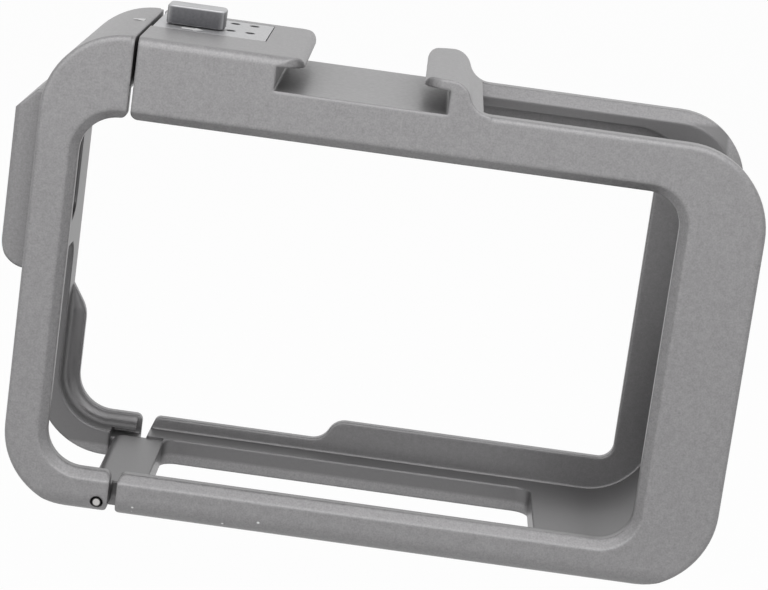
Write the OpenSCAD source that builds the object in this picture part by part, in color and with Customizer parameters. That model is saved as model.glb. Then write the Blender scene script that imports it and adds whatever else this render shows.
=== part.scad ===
// Cage for a small action camera: a C-shaped frame, a swing door on its left,
// an accessory shoe on top and a sliding thumb latch that holds the door shut.
// Millimetres. X runs along the width, Y from the screen side to the lens side, Z up.
// Modules are drawn with X zero at the middle of the width, Y zero at the screen
// side and Z zero under the cage, and cage_place moves them to the part's origin.

/* [Cage body] */
// width across the two side walls
cage_w = 79; // [76:0.5:90]
// height of the plain right part
cage_h = 49.8; // [49.4:0.1:54]
// depth from the screen side to the lens side
cage_d = 28; // [26:0.5:34]
// outer corner radius on the right
right_r = 9.4; // [8:0.1:11]
// outer corner radius of the lens bar at the top right
lens_r = 8.3; // [7:0.1:11]
// outer corner radius at the door's top
door_top_r = 9; // [7.5:0.1:11]
// outer corner radius at the door's foot
door_foot_r = 8.8; // [7.5:0.1:10]
// how far the raised left part stands over the plain top
raise_h = 3.3; // [2.6:0.1:4]
// rounding of the outer edge round the screen side
edge_r = 0.5; // [0.2:0.05:0.8]
// rounding of the bottom bar's outer edge
foot_round = 2.2; // [1:0.1:2.6]
// rounding of the raised part's top edges
raise_round = 0.9; // [0.4:0.1:1.2]

/* [Camera bay] */
// left wall, carried by the door
wall_left = 2.6; // [2:0.1:3.5]
// right wall
wall_right = 5.5; // [4.5:0.1:7]
// floor under the camera
floor_t = 3; // [2.6:0.1:4]
// roof over the camera, under the plain top
roof_t = 2.45; // [2.2:0.05:3.8]
// corner radius of the bay on the right
bay_r = 7.7; // [5:0.1:9]
// thickness of the screen side's lip
screen_lip_t = 2; // [1.4:0.1:3]
// thickness of the lens side's lip
lens_lip_t = 1; // [0.8:0.1:2]

/* [Screen window] */
// lip width on the left
lip_left = 2; // [1.2:0.1:3]
// lip width on the right
lip_right = 3.7; // [2.5:0.1:5]
// lip height at the bottom
lip_low = 1.8; // [1:0.1:3]
// lip height at the top
lip_top = 3.25; // [2:0.05:4.5]
// window corner radius on the left
window_left_r = 4.2; // [3:0.1:6]
// window corner radius on the right
window_right_r = 3.8; // [3:0.1:6]
// bevel round the window, across the face
bevel_w = 0.95; // [0.4:0.05:1.4]
// bevel round the window, into the depth
bevel_d = 1; // [0.4:0.05:1.3]

/* [Lens window] */
// lip height over the floor, left of the ramp
lens_low = 1.5; // [1:0.1:3]
// lip height over the floor, right of the ramp
lens_high = 4.05; // [3:0.05:6]
// left end of the ramp, from the middle
ramp_x = -6.6; // [-12:0.1:-3]
// length of the ramp, which swings up in two equal arcs
ramp_l = 4; // [2.6:0.1:6]
// lip width on the right
lens_right = 4.6; // [3:0.1:6]
// lip height at the top
lens_top = 3; // [2:0.1:5]
// corner radius of the lens window
lens_corner_r = 1.75; // [1:0.05:3]

/* [Accessory shoe] */
// middle of the shoe, from the left face
shoe_side = 34.05; // [30.5:0.05:36.5]
// width between the shoe's walls
shoe_w = 18.7; // [18.6:0.05:19]
// gap between the two lips
shoe_gap = 13; // [12.5:0.1:13.5]
// clear height under the lips
shoe_clear = 2.6; // [2.2:0.05:2.9]
// how far the shoe's floor lies under the plain top
shoe_sink = 0.4; // [0.2:0.05:0.8]
// plan radius of the lips on the screen side
lip_near_r = 2.85; // [1:0.05:2.85]
// plan radius of the lips on the lens side
lip_far_r = 4; // [2:0.1:5]
// rounding along the top of both lips' ends
lip_tip_r = 1; // [0.4:0.1:1]
// radius over the right hook
hook_r = 2.3; // [1.8:0.1:3]
// radius of the hollow beside the right hook
hook_foot_r = 2.6; // [1.6:0.1:4]

/* [Openings] */
// left end of the shutter opening, from the shoe's right wall
shutter_side = 3.8; // [3.1:0.1:8.1]
// how far the shutter opening turns down the right wall, from the plain top
shutter_drop = 25.2; // [17.8:0.1:33.8]
// depth of the lens bar behind the shutter opening
lens_bar_d = 3; // [2.4:0.1:5]
// chamfer on the lens bar
lens_bar_cut = 1.2; // [0.6:0.1:1.4]
// left end of the floor slot, from the left face
slot_left = 15.7; // [14.5:0.1:19.5]
// right end of the floor slot, from the right face
slot_right = 19.4; // [15.5:0.1:29.5]
// near edge of the floor slot
slot_y0 = 4.5; // [4.3:0.1:8]
// far edge of the floor slot, from the lens side
slot_far = 4.4; // [3.5:0.1:8]
// corner radius of the floor slot
slot_r = 1.8; // [1:0.1:3]

/* [Door] */
// right end of the door's top arm, from the left face
door_arm_l = 9.4; // [8.5:0.1:9.6]
// gap between the top arm and the frame
door_gap = 0.4; // [0.3:0.05:0.8]
// right end of the near arm at the hinge, from the left face
near_arm_l = 12.15; // [11.9:0.05:12.5]
// gap right of the near arm
near_gap = 0.9; // [0.75:0.05:1.4]
// depth of the near arm
near_arm_d = 4.2; // [3:0.1:4.2]
// right end of the far lobe at the hinge, from the left face
far_lobe_l = 12.6; // [12.3:0.05:12.7]
// gap right of the far lobe
far_gap = 0.55; // [0.45:0.05:1]
// height of the far lobe
far_lobe_h = 2.2; // [2:0.1:2.7]
// start of the lens lip on the door
door_lip_z = 19.4; // [12:0.1:24]
// width of the lens lip on the door
door_lip_w = 1.9; // [1.2:0.1:2.5]
// how far the left end of the frame's lens lip leans
lip_lean = 1.1; // [0.6:0.1:1.6]
// rounding of the bars' ends beside the door
end_r = 0.8; // [0.4:0.1:1]
// rounding of the upper end of the door's lens lip
lip_end_r = 4; // [1:0.1:5]
// corner radius of the opening low in the door
port_r = 2.5; // [1:0.1:4]
// length of the slanted end of the door's lens lip
lip_slant = 3; // [1:0.1:4]
// top of the opening low in the door, from the raised top
port_drop = 27.5; // [23.1:0.1:33.1]
// upper end of the inner recess beside the camera, from the raised top
recess_drop = 11.1; // [9.1:0.1:15.1]
// height of that recess
recess_h = 13.3; // [8:0.1:15]
// depth of that recess
recess_t = 1; // [0.5:0.1:1.4]
// far edge of that recess, from the lens side
recess_side = 6.8; // [4:0.1:10]

/* [Hinge] */
// pin centre, from the left face
pin_side = 10.98; // [10.7:0.02:11.1]
// pin centre over the base
pin_z = 1.38; // [1.3:0.02:1.6]
// pin radius
pin_r = 0.5; // [0.4:0.05:0.6]
// head recess radius round the pin
pin_ring_r = 0.68; // [0.66:0.02:0.8]
// depth of that head recess
pin_ring_d = 0.5; // [0.3:0.1:1]
// how far the pin's ends lie under the surface
pin_inset = 0.12; // [0:0.02:0.2]

/* [Side boss] */
// how far the boss stands out from the door
boss_out = 3.1; // [2:0.1:5]
// upper end of the boss, from the raised top
boss_drop = 7.6; // [7.1:0.1:13.1]
// height of the boss
boss_h = 19.9; // [10:0.1:24]
// near face of the boss
boss_y0 = 4; // [2:0.1:7]
// far face of the boss, from the lens side
boss_far = 4; // [2:0.1:7]
// lower corner radius of the boss
boss_r = 3; // [1:0.1:3]
// upper slope of the boss
boss_slope = 2.3; // [1:0.1:3]
// bevel round the boss's outer face
boss_bevel = 0.5; // [0.2:0.1:0.8]
// radius of the tapped hole, a quarter inch tripod thread at its minor radius
thread_r = 2.6; // [2.5:0.05:3.2]

/* [Thumb latch] */
// left end of the thumb tab, from the cover plate's left end
tab_side = 1.05; // [1:0.05:1.9]
// length of the thumb tab
tab_l = 6.5; // [6:0.1:7]
// depth of the thumb tab
tab_d = 3.9; // [3.6:0.1:4.2]
// near face of the thumb tab, from the cover plate's near edge
tab_near = 3.05; // [2.95:0.05:3.4]
// height of the thumb tab over the cover
tab_h = 2.3; // [1.8:0.1:3.5]
// corner radius of the thumb tab
tab_r = 0.6; // [0.4:0.1:1]
// travel of the latch
latch_travel = 2; // [1.8:0.1:2]
// left end of the cover plate, from the left face
cover_side = 10; // [9.9:0.1:10.1]
// length of the cover plate
cover_l = 12.5; // [12:0.1:13.5]
// far edge of the cover plate, from the lens side
cover_far = 2.8; // [2.7:0.1:4]
// depth of the cover plate
cover_d = 14; // [13.4:0.1:14.6]
// thickness of the cover plate
cover_t = 0.85; // [0.6:0.05:1]
// radius of the cover pins
cover_pin_r = 0.5; // [0.4:0.05:0.6]
// length of the cover pins
cover_pin_l = 1.8; // [1.2:0.1:2.4]
// how far the cover pins lie under the surface
cover_pin_sink = 0.3; // [0.1:0.1:0.6]
// right cover pins, from the plate's right end
cover_pin_right = 2.1; // [1.7:0.1:2.3]
// near cover pins, from the plate's near edge
cover_pin_near = 5.1; // [4:0.1:5.5]
// spacing of the cover pins along the width
cover_pin_dx = 2.2; // [1.6:0.1:2.8]
// far cover pins, from the plate's far edge
cover_pin_far = 2.2; // [1.9:0.1:2.9]
// left end of the slider plate, from the cover plate's left end
slider_side = 0.5; // [0.45:0.01:0.55]
// length of the slider plate
slider_l = 4.1; // [4:0.1:4.3]
// near edge of the slider plate, from the cover plate's near edge
slider_near = 1; // [0.8:0.1:1.1]
// depth of the slider plate
slider_d = 7.4; // [7:0.1:8]
// thickness of the slider plate
slider_t = 0.9; // [0.7:0.05:1]
// neck of the thumb tab, from the slider plate's left end
neck_x = 1.6; // [1.4:0.1:1.7]
// length of the neck
neck_l = 2.4; // [2:0.1:2.5]
// neck of the thumb tab, from the slider plate's near edge
neck_y = 4.2; // [4.1:0.1:4.4]
// depth of the neck
neck_d = 1.6; // [1.2:0.1:2]
// drive peg of the bolt, from the cover plate's left end
peg_side = 3.6; // [3.55:0.05:3.65]
// drive peg of the bolt, from the cover plate's near edge
peg_near = 4.2; // [4:0.1:4.3]
// radius of the drive peg
peg_r = 0.55; // [0.45:0.05:0.55]
// width of the bolt
bolt_w = 2.4; // [2:0.1:2.6]
// length of the bolt's body
bolt_l = 3.2; // [2.8:0.1:3.4]
// height of the bolt and of the door's eye plate
bolt_h = 2; // [1.8:0.1:2.2]
// radius of the bolt's nose
nose_r = 0.6; // [0.5:0.05:0.65]
// length of the bolt's nose
nose_l = 2.85; // [2.8:0.05:2.9]
// near face of the door's eye plate, from the cover plate's near edge
eye_near = 7; // [6.95:0.05:7.05]
// thickness of the door's eye plate
eye_t = 1.4; // [1.2:0.1:1.4]
// length of the door's eye plate past the bolt's nose
eye_end = 1.5; // [1.2:0.1:2]
// how deep the eye plate sits in the door's arm
eye_root = 3; // [2:0.1:3.5]

/* [Fits] */
// radial clearance of turning and sliding round parts
run_fit = 0.05; // [0.02:0.01:0.1]
// gap between sliding flat parts
slide_gap = 0.12; // [0.08:0.01:0.2]
// free space round moving parts
free_gap = 0.3; // [0.2:0.05:0.4]

/* [Hidden] */
$fn = 96;
over = 1;
left_x = -cage_w / 2;
right_x = cage_w / 2;
top_z = cage_h + raise_h;
bay_left = left_x + wall_left;
bay_right = right_x - wall_right;
bay_top = cage_h - roof_t;
bay_foot_r = door_foot_r - wall_left;
lens_y = cage_d - lens_lip_t;
bar_y = cage_d - lens_bar_d;
mid_y = (screen_lip_t + bar_y) / 2;
mid_z = cage_h / 2;
win_x0 = bay_left + lip_left;
win_x1 = bay_right - lip_right;
win_z0 = floor_t + lip_low;
win_z1 = bay_top - lip_top;
slot_x0 = left_x + slot_left;
slot_x1 = right_x - slot_right;
slot_y1 = cage_d - slot_far;
shoe_x = left_x + shoe_side;
shoe_x0 = shoe_x - shoe_w / 2;
shoe_x1 = shoe_x + shoe_w / 2;
shoe_lip0 = shoe_x - shoe_gap / 2;
shoe_lip1 = shoe_x + shoe_gap / 2;
shoe_z = cage_h - shoe_sink;
lip_z = shoe_z + shoe_clear;
shutter_x = shoe_x1 + shutter_side;
shutter_z = cage_h - shutter_drop;
door_x = left_x + door_arm_l;
near_arm_x = left_x + near_arm_l;
far_lobe_x = left_x + far_lobe_l;
pin_x = left_x + pin_side;
frame_x = door_x + door_gap;
hook_z = top_z - hook_r;
foot_z = cage_h + hook_foot_r;
foot_x = shoe_x1 + sqrt(pow(hook_r + hook_foot_r, 2) - pow(foot_z - hook_z, 2));
near_end = near_arm_x + near_gap;
far_end = far_lobe_x + far_gap;
knuckle_r = pin_z;
knuckle_y0 = near_arm_d + slide_gap;
knuckle_y1 = slot_y1 - slide_gap;
lobe_y = slot_y1 + free_gap;
lobe_x0 = pin_x - pin_z - free_gap;
arm_r = pin_z - free_gap;
plate_z = 2 * pin_z;
door_lip_x = bay_left + door_lip_w;
door_lip_r = bay_foot_r - door_lip_w;
lens_z0 = floor_t + lens_low;
lens_z1 = floor_t + lens_high;
lens_x1 = bay_right - lens_right;
ramp_r = (ramp_l * ramp_l + pow(lens_z1 - lens_z0, 2)) / (lens_z1 - lens_z0) / 4;
lean = atan((lens_z0 - pin_z) / lip_lean);
slant = atan(lip_slant / door_lip_w);
port_z = top_z - port_drop;
cover_x = left_x + cover_side;
cover_y1 = cage_d - cover_far;
cover_y = cover_y1 - cover_d;
cover_pin_x = cover_x + cover_l - cover_pin_right;
tab_x = cover_x + tab_side;
tab_y = cover_y + tab_near;
slider_x = cover_x + slider_side;
slider_y = cover_y + slider_near;
peg_x = cover_x + peg_side;
peg_y = cover_y + peg_near;
cover_z = top_z - cover_t;
slider_z1 = cover_z - slide_gap;
slider_z0 = slider_z1 - slider_t;
bolt_z1 = slider_z0 - free_gap;
bolt_z0 = bolt_z1 - bolt_h;
bolt_z = (bolt_z0 + bolt_z1) / 2;
bolt_y0 = peg_y - bolt_l / 2;
bolt_y1 = bolt_y0 + bolt_l;
nose_y = bolt_y1 + nose_l;
eye_x1 = peg_x + eye_end;
eye_y0 = cover_y + eye_near;
eye_y1 = eye_y0 + eye_t;
boss_x = left_x - boss_out;
boss_z1 = top_z - boss_drop;
boss_z0 = boss_z1 - boss_h;
boss_y1 = cage_d - boss_far;
boss_y = (boss_y0 + boss_y1) / 2;
thread_z = (boss_z0 + boss_z1) / 2;
recess_z1 = top_z - recess_drop;
recess_z0 = recess_z1 - recess_h;
recess_y1 = cage_d - recess_side;
recess_y0 = 2 * boss_y - recess_y1;
frame_color = [0.56, 0.55, 0.56];
door_color = [0.5, 0.52, 0.56];
steel_color = [0.78, 0.78, 0.8];
cover_color = [0.7, 0.7, 0.72];

// A box between two corners.
module box(x0, x1, y0, y1, z0, z1) {
  translate([x0, y0, z0]) cube([x1 - x0, y1 - y0, z1 - z0]);
}

// An outline in width and height, drawn out along the depth.
module along_y(y0, y1) {
  translate([0, y1, 0]) rotate([90, 0, 0]) linear_extrude(y1 - y0) children();
}

// What a rounded corner takes off, turned to its quarter.
module round_off(x, z, r, turn) {
  translate([x, z]) rotate(turn) difference() {
    square(r + over);
    circle(r);
  }
}

// A flat panel with four corner radii: foot left, foot right, top right, top left.
module panel(x0, x1, z0, z1, r0, r1, r2, r3) {
  difference() {
    translate([x0, z0]) square([x1 - x0, z1 - z0]);
    round_off(x0 + r0, z0 + r0, r0, 180);
    round_off(x1 - r1, z0 + r1, r1, 270);
    round_off(x1 - r2, z1 - r2, r2, 0);
    round_off(x0 + r3, z1 - r3, r3, 90);
  }
}

// The whole cage seen from the screen side, door and raised part included.
module cage_outline(top_r) {
  difference() {
    union() {
      translate([left_x, 0]) square([cage_w, cage_h]);
      translate([left_x, mid_z]) square([shoe_x0 - left_x, top_z - mid_z]);
    }
    round_off(left_x + door_foot_r, door_foot_r, door_foot_r, 180);
    round_off(right_x - right_r, right_r, right_r, 270);
    round_off(right_x - top_r, cage_h - top_r, top_r, 0);
    round_off(left_x + door_top_r, top_z - door_top_r, door_top_r, 90);
  }
}

// Rounding of one straight outer edge along the width, at the foot of the near face.
module edge_bar(r, l) {
  rotate([0, 90, 0]) linear_extrude(l) difference() {
    translate([-r, -over]) square(r + over);
    translate([-r, r]) circle(r);
  }
}

// Rounding of the outer edge at one corner of the screen side.
module edge_turn(x, z, r, e, turn) {
  translate([x, 0, z]) rotate([-90, 0, 0]) rotate([0, 0, turn]) intersection() {
    rotate_extrude() difference() {
      translate([r - e, -over]) square([e + over, e + over]);
      translate([r - e, e]) circle(e);
    }
    translate([0, 0, -over]) cube([r + over, r + over, e + over + over]);
  }
}

// Rounding of an upright outer edge, as high as l.
module edge_post(r, l) {
  linear_extrude(l) difference() {
    translate([-over, -over]) square(r + over);
    translate([r, r]) circle(r);
  }
}

// Everything that rounds the cage's outer edges.
module outer_edges() {
  translate([left_x, 0, 0]) edge_bar(foot_round, cage_w);
  translate([left_x, 0, door_foot_r]) edge_post(edge_r, top_z - door_top_r - door_foot_r);
  translate([right_x, 0, right_r]) mirror([1, 0, 0])
    edge_post(edge_r, cage_h - right_r - right_r);
  edge_turn(left_x + door_foot_r, door_foot_r, door_foot_r, edge_r, 90);
  edge_turn(left_x + door_top_r, top_z - door_top_r, door_top_r, edge_r, 180);
  edge_turn(right_x - right_r, cage_h - right_r, right_r, edge_r, 270);
  edge_turn(right_x - right_r, right_r, right_r, edge_r, 0);
  translate([left_x + door_top_r, 0, top_z]) mirror([0, 0, 1])
    edge_bar(raise_round, shoe_lip0 - left_x - door_top_r);
  translate([left_x + door_top_r, cage_d, top_z]) mirror([0, 1, 0]) mirror([0, 0, 1])
    edge_bar(raise_round, shoe_lip0 - left_x - door_top_r);
  translate([foot_x, 0, cage_h]) mirror([0, 0, 1])
    edge_bar(edge_r, right_x - right_r - foot_x);
}

// The bay that the camera sits in, from the screen lip to the lens lip.
module bay() {
  along_y(screen_lip_t, lens_y)
    panel(bay_left, bay_right, floor_t, bay_top, bay_foot_r, bay_r, bay_r, bay_foot_r);
}

// The window round the camera's screen, with a bevel on the near face.
module screen_window() {
  along_y(-over, screen_lip_t + over) panel(win_x0, win_x1, win_z0, win_z1,
    window_left_r, window_right_r, window_right_r, window_left_r);
  window_bevel(win_x0, win_z0, window_left_r, 180);
  window_bevel(win_x1, win_z0, window_right_r, 270);
  window_bevel(win_x1, win_z1, window_right_r, 0);
  window_bevel(win_x0, win_z1, window_left_r, 90);
  bevel_run([win_x0 + window_left_r, win_z0], 180,
    win_x1 - win_x0 - window_left_r - window_right_r);
  bevel_run([win_x1 - window_right_r, win_z1], 0,
    win_x1 - win_x0 - window_left_r - window_right_r);
  bevel_run([win_x1, win_z0 + window_right_r], 270,
    win_z1 - win_z0 - window_right_r - window_right_r);
  bevel_run([win_x0, win_z1 - window_left_r], 90,
    win_z1 - win_z0 - window_left_r - window_left_r);
}

// The wedge that bevels one straight side of the window. Its length runs back
// along the width from its starting point before it is turned.
module bevel_run(start, turn, l) {
  translate([start[0], 0, start[1]]) rotate([0, -turn, 0]) rotate([0, -90, 0])
    linear_extrude(l) polygon([
      [-over, -over],
      [bevel_w + over * bevel_w / bevel_d, -over],
      [0, bevel_d],
      [-over, bevel_d]
    ]);
}

// The cone that bevels one corner of the window.
module window_bevel(x, z, r, turn) {
  cx = turn == 180 || turn == 90 ? x + r : x - r;
  cz = turn == 180 || turn == 270 ? z + r : z - r;
  translate([cx, 0, cz]) rotate([-90, 0, 0]) rotate([0, 0, -90 - turn]) intersection() {
    rotate_extrude() polygon([
      [0, -over],
      [r + bevel_w + over * bevel_w / bevel_d, -over],
      [r, bevel_d],
      [0, bevel_d]
    ]);
    translate([0, 0, -over]) cube([r + bevel_w + over * 2, r + bevel_w + over * 2,
      bevel_d + over]);
  }
}

// The opening over the shutter button, which turns the corner down the right wall.
module shutter_opening() {
  box(shutter_x, right_x + over, screen_lip_t, bar_y, shutter_z, cage_h + over);
}

// The chamfer along the top of the lens bar, turned down round the corner.
module lens_bar_chamfer() {
  c = lens_bar_cut;
  cx = right_x - lens_r;
  cz = cage_h - lens_r;
  translate([shutter_x, bar_y, cage_h]) rotate([0, 90, 0]) linear_extrude(cx - shutter_x)
    polygon([[-over, -over], [c, -over], [c, 0], [0, c], [-over, c]]);
  translate([cx, bar_y, cz]) rotate([-90, 0, 0]) rotate([0, 0, 270]) intersection() {
    rotate_extrude() polygon([
      [lens_r - c, -over],
      [lens_r + over, -over],
      [lens_r + over, c],
      [lens_r, c],
      [lens_r - c, 0]
    ]);
    translate([0, 0, -over]) cube([lens_r + over, lens_r + over, c + over]);
  }
  translate([right_x, bar_y, shutter_z]) linear_extrude(cz - shutter_z)
    polygon([[-c, -over], [over, -over], [over, c], [0, c], [-c, 0]]);
}

// The window round the lens, on the frame's part of the lens side.
module lens_window() {
  along_y(lens_y - over, cage_d + over) {
    panel(frame_x - over, lens_x1, lens_z1, bay_top - lens_top, 0, lens_corner_r,
      lens_corner_r, 0);
    translate([left_x, lens_z0]) square([ramp_x - left_x, mid_z - lens_z0]);
    ramp_space();
    corner_round([far_end + lip_lean, lens_z0], 180 + lean, 180 - lean, end_r);
  }
}

// The space over the ramp: a hollow arc up to half its height and a round one from there.
module ramp_space() {
  half_x = ramp_x + ramp_l / 2;
  half_z = (lens_z0 + lens_z1) / 2;
  intersection() {
    translate([ramp_x, lens_z0 + ramp_r]) circle(ramp_r);
    translate([ramp_x - over, lens_z0]) square([ramp_l / 2 + over, half_z - lens_z0]);
  }
  translate([ramp_x - over, half_z]) square([ramp_l / 2 + over, lens_z1 + over - half_z]);
  difference() {
    translate([half_x, half_z]) square([ramp_l / 2, lens_z1 + over - half_z]);
    translate([ramp_x + ramp_l, lens_z1 - ramp_r]) circle(ramp_r);
  }
}

// What a rounding takes off a corner. One side of the solid leaves the corner at the
// turn given, and the other side leaves it further on by the angle.
module corner_round(corner, turn, angle, r) {
  t = r / tan(angle / 2);
  translate(corner) rotate(turn) difference() {
    polygon([
      [t, -over],
      [t, r],
      [t * cos(angle), t * sin(angle)],
      [t * cos(angle) - over * sin(angle), t * sin(angle) + over * cos(angle)],
      [-over, -over]
    ]);
    translate([t, r]) circle(r);
  }
}

// The slot through the floor.
module floor_slot() {
  translate([0, 0, -over]) linear_extrude(floor_t + over + over)
    panel(slot_x0, slot_x1, slot_y0, slot_y1, slot_r, slot_r, slot_r, slot_r);
}

// The right hook of the shoe, seen from the screen side.
module hook_outline() {
  translate([shoe_lip1, lip_z]) square([shoe_x1 - shoe_lip1, top_z - lip_z]);
  intersection() {
    translate([shoe_x1, hook_z]) circle(hook_r);
    translate([shoe_x1, shoe_z]) square([hook_r, top_z - shoe_z]);
  }
  difference() {
    polygon([[shoe_x1, shoe_z], [foot_x, shoe_z], [foot_x, foot_z], [shoe_x1, hook_z]]);
    translate([foot_x, foot_z]) circle(hook_foot_r);
  }
}

// What the rounded plan of a shoe lip takes off: one corner beside x.
module lip_corner(x, y, r, turn) {
  translate([0, 0, lip_z]) linear_extrude(top_z - lip_z + over) round_off(x, y, r, turn);
}

// Space that the frame leaves to the door, on the left.
module door_space() {
  box(left_x - boss_out, frame_x, -over, cage_d + over, mid_z / 2, top_z + over);
  box(left_x - over, near_end, -over, knuckle_y0, -over, mid_z);
  difference() {
    box(left_x - over, pin_x, knuckle_y0 - over, knuckle_y1, -over, mid_z);
    knuckle();
  }
  box(pin_x - over, slot_x0, knuckle_y0, knuckle_y1, plate_z, floor_t + over);
  box(left_x - over, far_end, knuckle_y1, cage_d + over, -over, mid_z);
  along_y(knuckle_y1, cage_d + over) polygon([
    [far_end - over, pin_z],
    [far_end, pin_z],
    [far_end + lip_lean, lens_z0],
    [far_end + lip_lean, lens_z0 + over],
    [far_end - over, lens_z0 + over]
  ]);
  along_y(-over, knuckle_y0) {
    round_off(near_end + end_r, end_r, end_r, 180);
    round_off(near_end + end_r, win_z0 - end_r, end_r, 90);
  }
  along_y(-over, screen_lip_t) round_off(frame_x + end_r, win_z1 + end_r, end_r, 180);
}

// The round end of the frame's hinge plate.
module knuckle() {
  translate([pin_x, knuckle_y0, pin_z]) rotate([-90, 0, 0])
    cylinder(r = knuckle_r, h = knuckle_y1 - knuckle_y0);
}

// Space that the door leaves to the frame, on its right.
module frame_space() {
  box(door_x, right_x + over, -over, cage_d + over, mid_z / 2, top_z + over);
  box(near_arm_x, right_x + over, -over, near_arm_d + over, -over, mid_z);
  box(far_lobe_x, right_x + over, near_arm_d, cage_d + over, -over, mid_z);
  box(lobe_x0, right_x, near_arm_d, lobe_y, -over, mid_z);
  box(lobe_x0, right_x, near_arm_d, lens_y, far_lobe_h, floor_t + over);
  along_y(-over, near_arm_d + over) {
    round_off(near_arm_x - arm_r, arm_r, arm_r, 270);
    round_off(near_arm_x - end_r, win_z0 - end_r, end_r, 0);
  }
  along_y(near_arm_d, cage_d + over) round_off(far_lobe_x - arm_r, arm_r, arm_r, 270);
  along_y(lobe_y, cage_d + over)
    round_off(far_lobe_x - end_r, lens_z0 - end_r, end_r, 0);
  along_y(-over, screen_lip_t) round_off(door_x - end_r, win_z1 + end_r, end_r, 270);
}

// The door's opening low in its side, which turns the corner under the camera.
module door_port() {
  translate([left_x - over, 0, 0]) rotate([90, 0, 90]) linear_extrude(cage_w)
    panel(near_arm_d, slot_y1, -over, port_z, 0, 0, port_r, port_r);
}

// The lens side of the door: its lip is only round the foot.
module door_lens_window() {
  along_y(lens_y - over, cage_d + over) {
    panel(bay_left, right_x, door_lip_z, bay_top, 0, 0, 0, bay_foot_r);
    panel(door_lip_x, right_x, lens_z0, door_lip_z + over, door_lip_r, 0, 0, 0);
    polygon([
      [bay_left, door_lip_z],
      [door_lip_x, door_lip_z - lip_slant],
      [door_lip_x + over, door_lip_z - lip_slant],
      [door_lip_x + over, door_lip_z + over],
      [bay_left, door_lip_z + over]
    ]);
    corner_round([door_lip_x, door_lip_z - lip_slant], 180 - slant, 90 + slant, lip_end_r);
  }
}

// The boss on the door's outer side, with a tripod thread through it.
module boss() {
  difference() {
    along_y(boss_y0, boss_y1) difference() {
      panel(boss_x, left_x + wall_left / 2, boss_z0, boss_z1, boss_r, 0, 0, 0);
      polygon([
        [boss_x - over, boss_z1 - boss_slope - over],
        [boss_x, boss_z1 - boss_slope],
        [boss_x + boss_slope, boss_z1],
        [boss_x + boss_slope, boss_z1 + over],
        [boss_x - over, boss_z1 + over]
      ]);
    }
    translate([boss_x, boss_y0, boss_z0]) linear_extrude(boss_z1 - boss_z0) boss_edge();
    translate([boss_x, boss_y1, boss_z0]) linear_extrude(boss_z1 - boss_z0)
      mirror([0, 1]) boss_edge();
  }
}

// What the bevel takes off one upright edge of the boss.
module boss_edge() {
  polygon([
    [-over, -over],
    [boss_bevel, -over],
    [boss_bevel, 0],
    [0, boss_bevel],
    [-over, boss_bevel]
  ]);
}

// A round hole or pin along the depth, at the hinge.
module hinge_round(r, y0, y1) {
  translate([pin_x, y0, pin_z]) rotate([-90, 0, 0]) cylinder(r = r, h = y1 - y0);
}

// A round hole or pin along the depth, at the bolt's nose.
module nose_round(r, y0, y1) {
  translate([peg_x, y0, bolt_z]) rotate([-90, 0, 0]) cylinder(r = r, h = y1 - y0);
}

// The places of the four cover pins.
module at_cover_pins() {
  for (x = [cover_pin_x - cover_pin_dx, cover_pin_x])
    for (y = [cover_y + cover_pin_near, cover_y1 - cover_pin_far])
      translate([x, y, top_z - cover_pin_sink]) children();
}

// What the latch takes out of the frame.
module latch_cuts() {
  box(frame_x - over, cover_x + cover_l + slide_gap, cover_y - slide_gap,
    cover_y1 + slide_gap, cover_z, top_z + over);
  box(slider_x - slide_gap, slider_x + slider_l + latch_travel + free_gap,
    slider_y - slide_gap, slider_y + slider_d + slide_gap, slider_z0 - slide_gap,
    cover_z + over);
  box(peg_x - bolt_w / 2 - slide_gap, peg_x + bolt_w / 2 + slide_gap,
    bolt_y0 - latch_travel - free_gap, eye_y0, bolt_z0 - slide_gap, slider_z0);
  box(frame_x - over, eye_x1 + free_gap, eye_y0 - free_gap, eye_y1 + free_gap,
    bolt_z0 - slide_gap, slider_z0);
  nose_round(nose_r + run_fit, eye_y0, nose_y + free_gap);
  at_cover_pins() translate([0, 0, -cover_pin_l]) cylinder(r = cover_pin_r, h = cover_pin_l);
}

// The plan of the slanted slot that drives the bolt's peg.
module peg_slot() {
  w = peg_r + run_fit;
  translate([peg_x, peg_y]) {
    circle(w);
    translate([-latch_travel, -latch_travel]) circle(w);
    rotate(225) translate([0, -w]) square([latch_travel * sqrt(2), w + w]);
  }
}

// Moves a piece from the cage's middle and screen side to the part's origin.
module cage_place() {
  translate([boss_out / 2, -cage_d / 2, 0]) children();
}

module main_frame() {
  color(frame_color) cage_place() difference() {
    union() {
      difference() {
        union() {
          along_y(0, mid_y) cage_outline(right_r);
          along_y(mid_y, cage_d) cage_outline(lens_r);
        }
        box(shoe_x0, shoe_x1, -over, cage_d + over, shoe_z, top_z + over);
        bay();
        screen_window();
        lens_window();
        floor_slot();
      }
      box(shoe_x0 - lip_near_r, shoe_lip0, 0, cage_d, lip_z, top_z);
      along_y(0, cage_d) hook_outline();
    }
    shutter_opening();
    lens_bar_chamfer();
    outer_edges();
    lip_corner(shoe_lip0 - lip_near_r, lip_near_r, lip_near_r, 270);
    lip_corner(shoe_lip0 - lip_far_r, cage_d - lip_far_r, lip_far_r, 0);
    lip_corner(shoe_lip1 + lip_near_r, lip_near_r, lip_near_r, 180);
    lip_corner(shoe_lip1 + lip_far_r, cage_d - lip_far_r, lip_far_r, 90);
    along_y(-over, cage_d + over) {
      round_off(shoe_lip0 - lip_tip_r, top_z - lip_tip_r, lip_tip_r, 0);
      round_off(shoe_lip1 + lip_tip_r, top_z - lip_tip_r, lip_tip_r, 90);
    }
    door_space();
    latch_cuts();
    hinge_round(pin_r, -over, cage_d + over);
  }
}

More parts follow.
